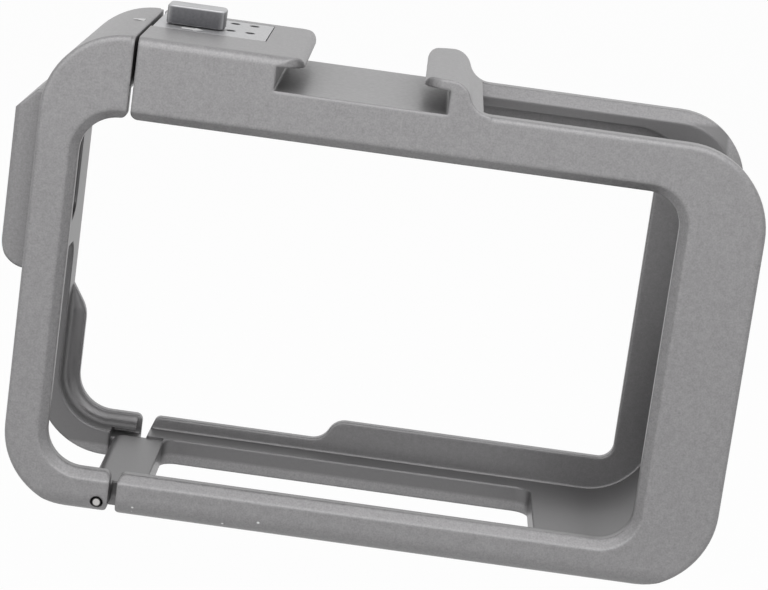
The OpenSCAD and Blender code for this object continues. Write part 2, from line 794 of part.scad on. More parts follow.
module side_door() {
  color(door_color) cage_place() difference() {
    union() {
      difference() {
        along_y(0, cage_d) cage_outline(right_r);
        frame_space();
        bay();
        screen_window();
        door_lens_window();
        door_port();
        outer_edges();
      }
      boss();
    }
    box(door_x - eye_root, door_x + over, eye_y0, eye_y1, bolt_z0, bolt_z1);
    translate([bay_left - recess_t, 0, 0]) rotate([90, 0, 90])
      linear_extrude(recess_t + over)
        panel(recess_y0, recess_y1, recess_z0, recess_z1, port_r, port_r, port_r, port_r);
    translate([boss_x - over, boss_y, thread_z]) rotate([0, 90, 0])
      cylinder(r = thread_r, h = boss_out + wall_left + over + over);
    hinge_round(pin_r + run_fit, -over, cage_d + over);
    hinge_round(pin_ring_r, -over, pin_ring_d);
    hinge_round(pin_ring_r, cage_d - pin_ring_d, cage_d + over);
  }
}

// The steel plate in the door's arm, whose eye takes the bolt's nose.
module door_eye() {
  color(steel_color) cage_place() difference() {
    box(door_x - eye_root, eye_x1, eye_y0, eye_y1, bolt_z0, bolt_z1);
    nose_round(nose_r + run_fit, eye_y0 - over, eye_y1 + over);
  }
}

module hinge_pin() {
  color(steel_color) cage_place() hinge_round(pin_r, pin_inset, cage_d - pin_inset);
}

module latch_cover_plate() {
  color(cover_color) cage_place() difference() {
    box(cover_x, cover_x + cover_l, cover_y, cover_y1, cover_z, top_z);
    box(slider_x + neck_x - slide_gap, slider_x + neck_x + neck_l + latch_travel + slide_gap,
      slider_y + neck_y - slide_gap, slider_y + neck_y + neck_d + slide_gap,
      cover_z - over, top_z + over);
    at_cover_pins() translate([0, 0, -cover_pin_l])
      cylinder(r = cover_pin_r + run_fit, h = cover_pin_l + cover_pin_sink + over);
  }
}

module cover_pins() {
  color(steel_color) cage_place() at_cover_pins() translate([0, 0, -cover_pin_l])
    cylinder(r = cover_pin_r, h = cover_pin_l);
}

module thumb_tab() {
  color(steel_color) cage_place() {
    translate([0, 0, top_z + slide_gap]) linear_extrude(tab_h - slide_gap)
      panel(tab_x, tab_x + tab_l, tab_y, tab_y + tab_d, tab_r, tab_r, tab_r, tab_r);
    box(slider_x + neck_x, slider_x + neck_x + neck_l, slider_y + neck_y,
      slider_y + neck_y + neck_d, slider_z0, top_z + tab_h / 2);
  }
}

module slider_plate() {
  color(cover_color) cage_place() difference() {
    box(slider_x, slider_x + slider_l, slider_y, slider_y + slider_d, slider_z0, slider_z1);
    box(slider_x + neck_x, slider_x + neck_x + neck_l, slider_y + neck_y,
      slider_y + neck_y + neck_d, slider_z0 - over, slider_z1 + over);
    translate([0, 0, slider_z0 - over]) linear_extrude(slider_t + over + over) peg_slot();
  }
}

module latch_bolt() {
  color(steel_color) cage_place() difference() {
    union() {
      box(peg_x - bolt_w / 2, peg_x + bolt_w / 2, bolt_y0, bolt_y1, bolt_z0, bolt_z1);
      nose_round(nose_r, bolt_y1 - nose_r, nose_y);
    }
    translate([peg_x, peg_y, bolt_z]) cylinder(r = peg_r, h = bolt_h);
  }
}

module bolt_peg() {
  color(cover_color) cage_place() translate([peg_x, peg_y, bolt_z])
    cylinder(r = peg_r, h = slider_z1 - slide_gap - bolt_z);
}

main_frame();
side_door();
door_eye();
hinge_pin();
latch_cover_plate();
cover_pins();
thumb_tab();
slider_plate();
latch_bolt();
bolt_peg();
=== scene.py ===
"""Dresses a packed action camera cage for a studio picture.

The machined parts keep their solids and get a blasted and anodised surface. The thumb tab, the
hollow rounding in the door and the printed direction marks are surfaces worked out here. Lengths
are metres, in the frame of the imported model: +X right, +Y to the lens side, +Z up.
"""

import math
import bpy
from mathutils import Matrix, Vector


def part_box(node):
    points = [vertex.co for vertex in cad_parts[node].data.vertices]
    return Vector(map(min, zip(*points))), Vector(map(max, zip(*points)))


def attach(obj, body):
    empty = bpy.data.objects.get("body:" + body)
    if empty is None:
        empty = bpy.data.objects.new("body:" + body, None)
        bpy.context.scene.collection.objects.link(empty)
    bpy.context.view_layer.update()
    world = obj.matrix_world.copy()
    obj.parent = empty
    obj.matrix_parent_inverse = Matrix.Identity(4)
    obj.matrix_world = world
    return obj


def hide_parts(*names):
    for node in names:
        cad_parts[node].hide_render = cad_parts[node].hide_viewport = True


bl_info = {
    "name": "Action Camera Cage",
    "version": (1, 0, 0),
    "blender": (4, 5, 0),
    "location": "View3D > Sidebar > Cage",
    "description": "Finishes and small pieces for a machined action camera cage",
    "category": "Object",
}

import bpy
import numpy as np
from mathutils import Matrix, Vector

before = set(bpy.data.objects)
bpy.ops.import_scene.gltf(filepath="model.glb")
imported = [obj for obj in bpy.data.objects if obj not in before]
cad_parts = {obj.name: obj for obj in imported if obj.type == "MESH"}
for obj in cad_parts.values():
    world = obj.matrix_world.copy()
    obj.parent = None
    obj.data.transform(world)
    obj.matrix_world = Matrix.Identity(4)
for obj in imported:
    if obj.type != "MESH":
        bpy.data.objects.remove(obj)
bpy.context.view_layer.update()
MM = 0.001
# small bright nicks in the near face of the bottom bar: x, z and size in millimetres
NICKS = ((-22.96, 1.32, 0.17), (-23.05, 0.75, 0.08), (-12.9, 0.8, 0.2), (-8.97, 1.6, 0.2))


# ---------------------------------------------------------------- settings


class CageFinish(bpy.types.PropertyGroup):
    """Colours and grain of the machined metal."""

    frame_colour: bpy.props.FloatVectorProperty(
        name="Anodised colour", description="Colour of the frame and the door",
        subtype="COLOR", size=3, default=(0.31, 0.305, 0.31), min=0, max=1)
    plate_colour: bpy.props.FloatVectorProperty(
        name="Satin colour", description="Colour of the cover plate and the thumb tab",
        subtype="COLOR", size=3, default=(0.5, 0.5, 0.51), min=0, max=1)
    steel_colour: bpy.props.FloatVectorProperty(
        name="Steel colour", description="Colour of the pins and the inner latch",
        subtype="COLOR", size=3, default=(0.62, 0.61, 0.6), min=0, max=1)
    grain: bpy.props.FloatProperty(
        name="Grain", description="Size of one blasted dimple",
        subtype="DISTANCE", unit="LENGTH", default=0.2 * MM, min=0.02 * MM)
    edge: bpy.props.FloatProperty(
        name="Edge break", description="Width of the broken edges",
        subtype="DISTANCE", unit="LENGTH", default=0.5 * MM, min=0)


class CageLatch(bpy.types.PropertyGroup):
    """Sizes of the thumb tab's rounded form."""

    corner: bpy.props.FloatProperty(
        name="Corner radius", description="Radius of the tab's upright corners",
        subtype="DISTANCE", unit="LENGTH", default=0.75 * MM, min=0)
    fillet: bpy.props.FloatProperty(
        name="Top fillet", description="Radius round the tab's top",
        subtype="DISTANCE", unit="LENGTH", default=0.3 * MM, min=0)
    dish: bpy.props.FloatProperty(
        name="Dish", description="How far the top sinks in its middle",
        subtype="DISTANCE", unit="LENGTH", default=0.1 * MM, min=0)


class CageCove(bpy.types.PropertyGroup):
    """The hollow rounding between the door's wall and its low lip on the lens side."""

    width: bpy.props.FloatProperty(
        name="Width", description="Width of the hollow, measured from the wall",
        subtype="DISTANCE", unit="LENGTH", default=1.7 * MM, min=0)
    depth: bpy.props.FloatProperty(
        name="Depth", description="Depth of the hollow, measured from the lip",
        subtype="DISTANCE", unit="LENGTH", default=1.9 * MM, min=0)
    turn: bpy.props.FloatProperty(
        name="Turn", description="Radius of the door's inner corner at the foot",
        subtype="DISTANCE", unit="LENGTH", default=6.2 * MM, min=0)


class CageMarks(bpy.types.PropertyGroup):
    """The two printed direction marks."""

    paint: bpy.props.FloatVectorProperty(
        name="Paint", description="Colour of the printed marks",
        subtype="COLOR", size=3, default=(0.88, 0.88, 0.88), min=0, max=1)
    layer: bpy.props.FloatProperty(
        name="Layer", description="Thickness of the paint",
        subtype="DISTANCE", unit="LENGTH", default=0.02 * MM, min=0)


class CageStage(bpy.types.PropertyGroup):
    """Floor, lamps and camera."""

    lens: bpy.props.FloatProperty(
        name="Lens", description="Focal length on a 36 mm sensor",
        subtype="DISTANCE_CAMERA", default=126.5625, min=10)
    key: bpy.props.FloatProperty(
        name="Key", description="Power of the lamp in front of the screen side",
        subtype="POWER", unit="POWER", default=0.6, min=0)
    fill: bpy.props.FloatProperty(
        name="Fill", description="Power of the lamp overhead",
        subtype="POWER", unit="POWER", default=0.2, min=0)
    front: bpy.props.FloatProperty(
        name="Front air", description="Strength of the light from the camera's side",
        default=0.22, min=0)
    back: bpy.props.FloatProperty(
        name="Back air", description="Strength of the pale backdrop's light",
        default=0.3, min=0)


def finish_of(context):
    """The settings of the metal's finish."""
    return context.scene.cage_finish


# ---------------------------------------------------------------- mesh helpers


def grid_faces(rows, columns, closed_columns=True):
    """Quads of a grid whose point (i, j) has the index i * columns + j."""
    last = columns if closed_columns else columns - 1
    i, j = np.meshgrid(np.arange(rows - 1), np.arange(last), indexing="ij")
    i, j = i.ravel(), j.ravel()
    k = (j + 1) % columns
    return np.stack([i * columns + j, i * columns + k, (i + 1) * columns + k,
                     (i + 1) * columns + j], axis=1)


def put_mesh(name, points, quads, caps=()):
    """Makes an object at the origin from an array of points, its quads and its end faces."""
    mesh = bpy.data.meshes.new(name)
    faces = [tuple(q) for q in quads.tolist()] + [tuple(int(v) for v in c) for c in caps]
    mesh.from_pydata(points.tolist(), [], faces)
    mesh.update()
    piece = bpy.data.objects.new(name, mesh)
    bpy.context.scene.collection.objects.link(piece)
    return piece


def smooth(piece, degrees):
    """Shades a piece smooth, and keeps the edges that turn by more than the angle."""
    mesh = piece.data
    mesh.polygons.foreach_set("use_smooth", np.ones(len(mesh.polygons), dtype=bool))
    mesh.set_sharp_from_angle(angle=math.radians(degrees))
    mesh.update()


def rounded_plan(width, depth, radius, steps):
    """Outline of a rounded rectangle about zero: four quarter circles of the radius, whose
    middles stand at half the size less the radius, joined by straight sides."""
    quarter = np.linspace(0, math.pi / 2, steps)
    turn = np.concatenate([quarter + k * math.pi / 2 for k in range(4)])
    sign_x = np.repeat([1, -1, -1, 1], steps)
    sign_y = np.repeat([1, 1, -1, -1], steps)
    x = sign_x * (width / 2 - radius) + radius * np.cos(turn)
    y = sign_y * (depth / 2 - radius) + radius * np.sin(turn)
    return x, y


def stack_rings(rings, middle):
    """Points of plan rings (x, y, z arrays) one over the other, moved to the middle."""
    points = np.concatenate([np.stack(ring, axis=1) for ring in rings])
    return points + np.array(middle)


# ---------------------------------------------------------------- shader groups


def new_group(name, inputs, outputs):
    """An empty shader group with named sockets, and its input and output nodes."""
    group = bpy.data.node_groups.new(name, "ShaderNodeTree")
    for label, kind, value in inputs:
        socket = group.interface.new_socket(label, in_out="INPUT", socket_type=kind)
        if value is not None:
            socket.default_value = value
    for label, kind in outputs:
        group.interface.new_socket(label, in_out="OUTPUT", socket_type=kind)
    return group, group.nodes.new("NodeGroupInput"), group.nodes.new("NodeGroupOutput")


def math_node(tree, operation, first, second=None, third=None):
    """One Math node, whose inputs are sockets or numbers."""
    node = tree.nodes.new("ShaderNodeMath")
    node.operation = operation
    for slot, value in enumerate((first, second, third)):
        if value is None:
            continue
        if isinstance(value, (int, float)):
            node.inputs[slot].default_value = value
        else:
            tree.links.new(value, node.inputs[slot])
    return node.outputs[0]


def noise_node(tree, vector, scale, detail, rough=0.5):
    """One Noise node, whose scale is a socket or a number."""
    node = tree.nodes.new("ShaderNodeTexNoise")
    node.inputs["Detail"].default_value = detail
    node.inputs["Roughness"].default_value = rough
    tree.links.new(vector, node.inputs["Vector"])
    if isinstance(scale, (int, float)):
        node.inputs["Scale"].default_value = scale
    else:
        tree.links.new(scale, node.inputs["Scale"])
    return node.outputs["Fac"]


def blast_group():
    """Blasted grain: fine dimples for the bump, and a soft mottle that lightens and darkens."""
    found = bpy.data.node_groups.get("Blasted grain")
    if found:
        return found
    group, into, out = new_group(
        "Blasted grain",
        [("Colour", "NodeSocketColor", (0.3, 0.3, 0.3, 1)),
         ("Grain size", "NodeSocketFloat", 0.00016),
         ("Mottle", "NodeSocketFloat", 0.12),
         ("Roughness", "NodeSocketFloat", 0.5),
         ("Depth", "NodeSocketFloat", 0.5)],
        [("Colour", "NodeSocketColor"), ("Roughness", "NodeSocketFloat"),
         ("Height", "NodeSocketFloat")])
    where = group.nodes.new("ShaderNodeTexCoord").outputs["Object"]
    scale = math_node(group, "DIVIDE", 1.0, into.outputs["Grain size"])
    fine = noise_node(group, where, scale, 2.0)
    cloud = noise_node(group, where, 420.0, 3.0, 0.6)
    speck = noise_node(group, where, math_node(group, "MULTIPLY", scale, 0.42), 1.0)
    both = math_node(group, "ADD", math_node(group, "MULTIPLY", fine, 0.6),
                     math_node(group, "MULTIPLY", speck, 0.4))
    tone = math_node(group, "MULTIPLY_ADD", math_node(group, "SUBTRACT", both, 0.5),
                     into.outputs["Mottle"], 1.0)
    wide = math_node(group, "MULTIPLY_ADD", math_node(group, "SUBTRACT", cloud, 0.5), 0.05, tone)
    shade = group.nodes.new("ShaderNodeVectorMath")
    shade.operation = "SCALE"
    group.links.new(into.outputs["Colour"], shade.inputs[0])
    group.links.new(wide, shade.inputs["Scale"])
    group.links.new(shade.outputs[0], out.inputs["Colour"])
    rough = math_node(group, "MULTIPLY_ADD", math_node(group, "SUBTRACT", speck, 0.5), 0.25,
                      into.outputs["Roughness"])
    group.links.new(rough, out.inputs["Roughness"])
    group.links.new(math_node(group, "MULTIPLY", both, into.outputs["Depth"]),
                    out.inputs["Height"])
    return group


def edge_group():
    """Broken edges: a rounded normal near each edge, and a mask of where it bends. Along the
    edges the colour is lifted: wear together with painted highlight.
    """
    found = bpy.data.node_groups.get("Broken edges")
    if found:
        return found
    group, into, out = new_group(
        "Broken edges",
        [("Width", "NodeSocketFloat", 0.0002), ("Colour", "NodeSocketColor", (0.3, 0.3, 0.3, 1)),
         ("Rub and highlight", "NodeSocketFloat", 0.3)],
        [("Colour", "NodeSocketColor"), ("Normal", "NodeSocketVector"),
         ("Mask", "NodeSocketFloat")])
    round_edge = group.nodes.new("ShaderNodeBevel")
    round_edge.samples = 12
    group.links.new(into.outputs["Width"], round_edge.inputs["Radius"])
    flat = group.nodes.new("ShaderNodeNewGeometry").outputs["Normal"]
    dot = group.nodes.new("ShaderNodeVectorMath")
    dot.operation = "DOT_PRODUCT"
    group.links.new(round_edge.outputs[0], dot.inputs[0])
    group.links.new(flat, dot.inputs[1])
    bend = math_node(group, "SUBTRACT", 1.0, dot.outputs["Value"])
    mask = math_node(group, "MINIMUM", math_node(group, "MULTIPLY", bend, 3.0), 1.0)
    mask = math_node(group, "MAXIMUM", mask, 0.0)
    where = group.nodes.new("ShaderNodeTexCoord").outputs["Object"]
    patch = noise_node(group, where, 900.0, 4.0, 0.7)
    # Lighter along the edges: wear together with painted highlight.
    rubbed_and_highlit = math_node(group, "MULTIPLY", mask, math_node(group, "MULTIPLY", patch, 1.4))
    lift = math_node(group, "MULTIPLY_ADD", rubbed_and_highlit, into.outputs["Rub and highlight"], 1.0)
    shade = group.nodes.new("ShaderNodeVectorMath")
    shade.operation = "SCALE"
    group.links.new(into.outputs["Colour"], shade.inputs[0])
    group.links.new(lift, shade.inputs["Scale"])
    group.links.new(shade.outputs[0], out.inputs["Colour"])
    group.links.new(round_edge.outputs[0], out.inputs["Normal"])
    group.links.new(mask, out.inputs["Mask"])
    return group


def rim_group():
    """Painted rim highlights: a mask of rounded places, where no axis holds most of the normal,
    and of tops; the colour there is lifted as painted highlight on the rims and painted light on
    top.

    mask = bend * (1 - max(|nx|, |ny|, |nz|)) + nz over the crown's limit, times patches."""
    found = bpy.data.node_groups.get("Painted rim highlights")
    if found:
        return found
    group, into, out = new_group(
        "Painted rim highlights",
        [("Colour", "NodeSocketColor", (0.2, 0.2, 0.2, 1)),
         ("Highlight colour", "NodeSocketColor", (0.6, 0.6, 0.6, 1)),
         ("Bend", "NodeSocketFloat", 3.5), ("Crown", "NodeSocketFloat", 0.8)],
        [("Colour", "NodeSocketColor"), ("Mask", "NodeSocketFloat")])
    coords = group.nodes.new("ShaderNodeTexCoord")
    axes = group.nodes.new("ShaderNodeSeparateXYZ")
    group.links.new(coords.outputs["Normal"], axes.inputs[0])
    size = [math_node(group, "ABSOLUTE", axes.outputs[k]) for k in range(3)]
    most = math_node(group, "MAXIMUM", math_node(group, "MAXIMUM", size[0], size[1]), size[2])
    bent = math_node(group, "MULTIPLY", math_node(group, "SUBTRACT", 1.0, most),
                     into.outputs["Bend"])
    crown = math_node(group, "MULTIPLY", math_node(group, "MAXIMUM", axes.outputs[2], 0.0),
                      into.outputs["Crown"])
    whole = math_node(group, "MINIMUM", math_node(group, "ADD", bent, crown), 1.0)
    patch = noise_node(group, coords.outputs["Object"], 1400.0, 3.0, 0.6)
    mask = math_node(group, "MULTIPLY", whole, math_node(group, "MULTIPLY_ADD", patch, 0.6, 0.65))
    mask = math_node(group, "MINIMUM", mask, 1.0)
    group.links.new(mix_colour(group, mask, into.outputs["Colour"], into.outputs["Highlight colour"]),
                    out.inputs["Colour"])
    group.links.new(mask, out.inputs["Mask"])
    return group


def vector_node(tree, operation, first, second=None):
    """One Vector Math node, whose inputs are sockets."""
    node = tree.nodes.new("ShaderNodeVectorMath")
    node.operation = operation
    tree.links.new(first, node.inputs[0])
    if second is not None:
        tree.links.new(second, node.inputs[1])
    return node


def mix_colour(tree, share, first, second):
    """One Mix node for colours, whose inputs are sockets."""
    blend = tree.nodes.new("ShaderNodeMix")
    blend.data_type = "RGBA"
    for value, socket in ((share, "Factor"), (first, "A"), (second, "B")):
        tree.links.new(value, blend.inputs[socket])
    return blend.outputs["Result"]


def spot_group():
    """A spot with its own colour: mask = (1 - |(p - centre) / size|) / feather, held to 0..1."""
    found = bpy.data.node_groups.get("Spot")
    if found:
        return found
    group, into, out = new_group(
        "Spot",
        [("Colour", "NodeSocketColor", (0.3, 0.3, 0.3, 1)),
         ("Spot colour", "NodeSocketColor", (0.1, 0.1, 0.1, 1)),
         ("Centre", "NodeSocketVector", None), ("Size", "NodeSocketVector", (1, 1, 1)),
         ("Feather", "NodeSocketFloat", 0.3)],
        [("Colour", "NodeSocketColor"), ("Mask", "NodeSocketFloat")])
    where = group.nodes.new("ShaderNodeTexCoord").outputs["Object"]
    away = vector_node(group, "SUBTRACT", where, into.outputs["Centre"])
    share = vector_node(group, "DIVIDE", away.outputs[0], into.outputs["Size"])
    length = vector_node(group, "LENGTH", share.outputs[0]).outputs["Value"]
    mask = math_node(group, "DIVIDE", math_node(group, "SUBTRACT", 1.0, length),
                     into.outputs["Feather"])
    mask = math_node(group, "MAXIMUM", math_node(group, "MINIMUM", mask, 1.0), 0.0)
    group.links.new(mix_colour(group, mask, into.outputs["Colour"], into.outputs["Spot colour"]),
                    out.inputs["Colour"])
    group.links.new(mask, out.inputs["Mask"])
    return group


def inner_group():
    """Smooth faces in a box: one where |p - middle| < half on each axis, with a plain colour.
    A plain colour darker than the metal's paints shade.
    """
    found = bpy.data.node_groups.get("Smooth faces and painted shade")
    if found:
        return found
    group, into, out = new_group(
        "Smooth faces and painted shade",
        [("Colour", "NodeSocketColor", (0.3, 0.3, 0.3, 1)),
         ("Plain", "NodeSocketColor", (0.2, 0.2, 0.2, 1)), ("Share", "NodeSocketFloat", 0.85),
         ("Middle", "NodeSocketVector", None), ("Half", "NodeSocketVector", (1, 1, 1))],
        [("Colour", "NodeSocketColor"), ("Mask", "NodeSocketFloat")])
    where = group.nodes.new("ShaderNodeTexCoord").outputs["Object"]
    away = vector_node(group, "SUBTRACT", where, into.outputs["Middle"])
    size = vector_node(group, "ABSOLUTE", away.outputs[0])
    room = vector_node(group, "SUBTRACT", into.outputs["Half"], size.outputs[0])
    axes = group.nodes.new("ShaderNodeSeparateXYZ")
    group.links.new(room.outputs[0], axes.inputs[0])
    least = math_node(group, "MINIMUM", math_node(group, "MINIMUM", axes.outputs[0],
                                                  axes.outputs[1]), axes.outputs[2])
    per_metre = 2500.0  # the box's sides fade over 0.4 mm
    mask = math_node(group, "MULTIPLY", least, per_metre)
    mask = math_node(group, "MAXIMUM", math_node(group, "MINIMUM", mask, 1.0), 0.0)
    share = math_node(group, "MULTIPLY", mask, into.outputs["Share"])
    group.links.new(mix_colour(group, share, into.outputs["Colour"], into.outputs["Plain"]),
                    out.inputs["Colour"])
    group.links.new(mask, out.inputs["Mask"])
    return group


def recess_group():
    """Painted shade in corners and recesses: colour * (1 - amount * (1 - openness))."""
    found = bpy.data.node_groups.get("Recess shade")
    if found:
        return found
    group, into, out = new_group(
        "Recess shade",
        [("Colour", "NodeSocketColor", (0.3, 0.3, 0.3, 1)), ("Amount", "NodeSocketFloat", 0.5),
         ("Reach", "NodeSocketFloat", 0.006)],
        [("Colour", "NodeSocketColor"), ("Mask", "NodeSocketFloat")])
    cover = group.nodes.new("ShaderNodeAmbientOcclusion")
    cover.samples = 8
    group.links.new(into.outputs["Reach"], cover.inputs["Distance"])
    shut = math_node(group, "SUBTRACT", 1.0, cover.outputs["AO"])
    lift = math_node(group, "SUBTRACT", 1.0, math_node(group, "MULTIPLY", shut,
                                                       into.outputs["Amount"]))
    shade = group.nodes.new("ShaderNodeVectorMath")
    shade.operation = "SCALE"
    group.links.new(into.outputs["Colour"], shade.inputs[0])
    group.links.new(lift, shade.inputs["Scale"])
    group.links.new(shade.outputs[0], out.inputs["Colour"])
    group.links.new(shut, out.inputs["Mask"])
    return group


def tint(material, group, values):
    """Passes the base colour through one more group, and gives back the group's node."""
    tree = material.node_tree
    target = tree.nodes["Principled BSDF"].inputs["Base Color"]
    before = target.links[0].from_socket
    node = tree.nodes.new("ShaderNodeGroup")
    node.node_tree = group
    for label, value in values.items():
        node.inputs[label].default_value = value
    tree.links.new(before, node.inputs["Colour"])
    tree.links.new(node.outputs["Colour"], target)
    return node


def metal(name, colour, grain, edge, mottle, roughness, depth, rub_and_highlight, metallic=1.0, bump=0.2):
    """A machined metal: shared grain and broken edges around one Principled shader."""
    found = bpy.data.materials.get(name)
    if found:
        return found
    material = bpy.data.materials.new(name)
    material.use_nodes = True
    tree = material.node_tree
    shader = tree.nodes["Principled BSDF"]
    shader.inputs["Metallic"].default_value = metallic
    blast = tree.nodes.new("ShaderNodeGroup")
    blast.node_tree = blast_group()
    blast.inputs["Colour"].default_value = (*colour, 1)
    blast.inputs["Grain size"].default_value = grain
    blast.inputs["Mottle"].default_value = mottle
    blast.inputs["Roughness"].default_value = roughness
    blast.inputs["Depth"].default_value = depth
    edges = tree.nodes.new("ShaderNodeGroup")
    edges.node_tree = edge_group()
    edges.inputs["Width"].default_value = edge
    edges.inputs["Rub and highlight"].default_value = rub_and_highlight
    tree.links.new(blast.outputs["Colour"], edges.inputs["Colour"])
    tree.links.new(edges.outputs["Colour"], shader.inputs["Base Color"])
    tree.links.new(blast.outputs["Roughness"], shader.inputs["Roughness"])
    dimple = tree.nodes.new("ShaderNodeBump")
    dimple.inputs["Strength"].default_value = bump
    dimple.inputs["Distance"].default_value = 0.02 * MM
    tree.links.new(blast.outputs["Height"], dimple.inputs["Height"])
    tree.links.new(edges.outputs["Normal"], dimple.inputs["Normal"])
    tree.links.new(dimple.outputs["Normal"], shader.inputs["Normal"])
    return material


def anodised(context):
    """Blasted outside, and smoother inside the bay, where painted shade darkens it; lighter
    along the edges with wear and painted highlight, and with painted shade in recesses.
    """
    s = finish_of(context)
    name = "Blasted anodised aluminium"
    if bpy.data.materials.get(name):
        return bpy.data.materials[name]
    material = metal(name, tuple(s.frame_colour), s.grain, s.edge,
                     mottle=0.8, roughness=0.42, depth=1.0, rub_and_highlight=0.1, metallic=0.5)
    # Painted shade inside the bay: the colour darkens to 0.56 of the metal's; the mask also
    # smooths roughness and grain.
    inner = tint(material, inner_group(), {
        "Plain": (*(v * 0.56 for v in s.frame_colour), 1),
        "Middle": (0.0011, 0.0004, 0.0249), "Half": (0.0375, 0.0128, 0.0239)})
    channel = tint(material, inner_group(), {
        "Plain": (*s.frame_colour, 1), "Share": 0.6,
        "Middle": (-0.0039, 0, 0.0507), "Half": (0.0097, 0.0148, 0.0017)})
    # Painted shade in corners and recesses, reaching 10 mm.
    tint(material, recess_group(), {"Amount": 0.35, "Reach": 0.010})
    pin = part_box("hinge_pin")
    axis_x, axis_z = (pin[0][0] + pin[1][0]) / 2, (pin[0][2] + pin[1][2]) / 2
    tint(material, spot_group(), {
        "Spot colour": (0.03, 0.03, 0.03, 1), "Centre": (axis_x, 0, axis_z),
        "Size": (0.77 * MM, 1.0, 0.77 * MM), "Feather": 0.12})
    for x, z, size in NICKS:
        tint(material, spot_group(), {
            "Spot colour": (0.85, 0.85, 0.85, 1), "Centre": (x * MM, -14 * MM, z * MM),
            "Size": (size * MM, 1 * MM, size * 0.8 * MM), "Feather": 0.4})
    tree = material.node_tree
    shader = tree.nodes["Principled BSDF"]
    rough = shader.inputs["Roughness"].links[0].from_socket
    even = tree.nodes.new("ShaderNodeMix")
    even.inputs["B"].default_value = 0.36
    tree.links.new(inner.outputs["Mask"], even.inputs["Factor"])
    tree.links.new(rough, even.inputs["A"])
    tree.links.new(even.outputs["Result"], shader.inputs["Roughness"])
    dimple = next(n for n in tree.nodes if n.bl_idname == "ShaderNodeBump")
    height = dimple.inputs["Height"].links[0].from_socket
    flat = math_node(tree, "MULTIPLY_ADD", inner.outputs["Mask"], -0.9, 1.0)
    flat = math_node(tree, "MULTIPLY_ADD", channel.outputs["Mask"], -0.6, flat)
    flat = math_node(tree, "MAXIMUM", flat, 0.0)
    tree.links.new(math_node(tree, "MULTIPLY", height, flat), dimple.inputs["Height"])
    return material


def smooth_metal(context):
    """The anodised metal where it is milled and not blasted, darkened to 0.62 of the colour as
    painted shade, like the bay round it.
    """
    s = finish_of(context)
    return metal("Milled anodised aluminium", tuple(v * 0.62 for v in s.frame_colour), s.grain,
                 s.edge * 0.1, mottle=0.15, roughness=0.36, depth=0.1, rub_and_highlight=0.1, metallic=0.6,
                 bump=0.02)


def satin(context):
    """The cover plate's metal, with painted shade in a spot round each sunk pin."""
    s = finish_of(context)
    name = "Satin plate"
    if bpy.data.materials.get(name):
        return bpy.data.materials[name]
    material = metal(name, tuple(s.plate_colour), s.grain, s.edge * 0.2,
                     mottle=0.9, roughness=0.4, depth=0.5, rub_and_highlight=0.1, metallic=0.7)
    low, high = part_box("cover_pins")
    radius = 0.5 * MM
    for x in (low[0] + radius, high[0] - radius):
        for y in (low[1] + radius, high[1] - radius):
            # Painted shade in the sunk hole round each pin.
            tint(material, spot_group(), {
                "Spot colour": (0.07, 0.07, 0.075, 1), "Centre": (x, y, high[2]),
                "Size": (0.66 * MM, 0.95 * MM, 1.0), "Feather": 0.3})
    return material


def steel(context):
    """The ground steel of the eye and the inner latch."""
    s = finish_of(context)
    return metal("Ground steel", tuple(s.steel_colour), s.grain * 0.7, s.edge * 0.15,
                 mottle=0.25, roughness=0.3, depth=0.3, rub_and_highlight=0.2)


def tab_metal_with_painted_light(context):
    """The thumb tab's metal: dark faces, painted dark for their dark reflection, with painted
    highlights on the rims and painted light on the top.
    """
    s = finish_of(context)
    material = metal("Tumbled tab", (0.07, 0.07, 0.075), s.grain * 1.5, s.edge * 0.1,
                     mottle=0.8, roughness=0.42, depth=0.25, rub_and_highlight=0.0, bump=0.12)
    # Painted highlights on the rounded rims and painted light on the tab's top.
    tint(material, rim_group(), {"Highlight colour": (0.5, 0.5, 0.51, 1), "Bend": 2.2, "Crown": 1.0})
    return material


def pin_end(context):
    """The hinge pin: oxide-dark steel with a bright ground middle on its ends."""
    s = finish_of(context)
    material = metal("Hinge pin", (0.03, 0.03, 0.03), s.grain * 0.7, s.edge * 0.15,
                     mottle=0.6, roughness=0.35, depth=0.3, rub_and_highlight=0.2)
    low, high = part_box("hinge_pin")
    tint(material, spot_group(), {
        "Spot colour": (0.5, 0.49, 0.48, 1), "Feather": 0.2,
        "Centre": ((low[0] + high[0]) / 2, 0, (low[2] + high[2]) / 2),
        "Size": (0.43 * MM, 1.0, 0.43 * MM)})
    return material


def dark_steel(context):
    """The sunk heads of the cover's pins, made dark as painted shade in their sunk holes."""
    s = finish_of(context)
    return metal("Sunk pin heads", (0.09, 0.09, 0.095), s.grain, s.edge * 0.15,
                 mottle=1.2, roughness=0.45, depth=0.5, rub_and_highlight=0.6, metallic=0.6)


def dress_node(node, material):
    """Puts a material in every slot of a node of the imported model."""
    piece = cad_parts[node]
    piece.data.materials.clear()
    piece.data.materials.append(material)


# ---------------------------------------------------------------- operators


class CAGE_OT_body(bpy.types.Operator):
    """Finishes the two machined pieces: the C-shaped frame and the swing door"""

    bl_idname = "cage.body"
    bl_label = "Frame and door"

    def execute(self, context):
        dress_node("main_frame", anodised(context))
        dress_node("side_door", anodised(context))
        return {"FINISHED"}


class CAGE_OT_inner_latch(bpy.types.Operator):
    """Finishes the steel pieces of the latch and of the hinge"""

    bl_idname = "cage.inner_latch"
    bl_label = "Steel pieces"

    def execute(self, context):
        for node in ("door_eye", "slider_plate", "latch_bolt", "bolt_peg"):
            dress_node(node, steel(context))
        dress_node("hinge_pin", pin_end(context))
        dress_node("cover_pins", dark_steel(context))
        return {"FINISHED"}


class CAGE_OT_cover(bpy.types.Operator):
    """Finishes the flush cover plate over the latch"""

    bl_idname = "cage.cover"
    bl_label = "Cover plate"

    def execute(self, context):
        dress_node("latch_cover_plate", satin(context))
        return {"FINISHED"}


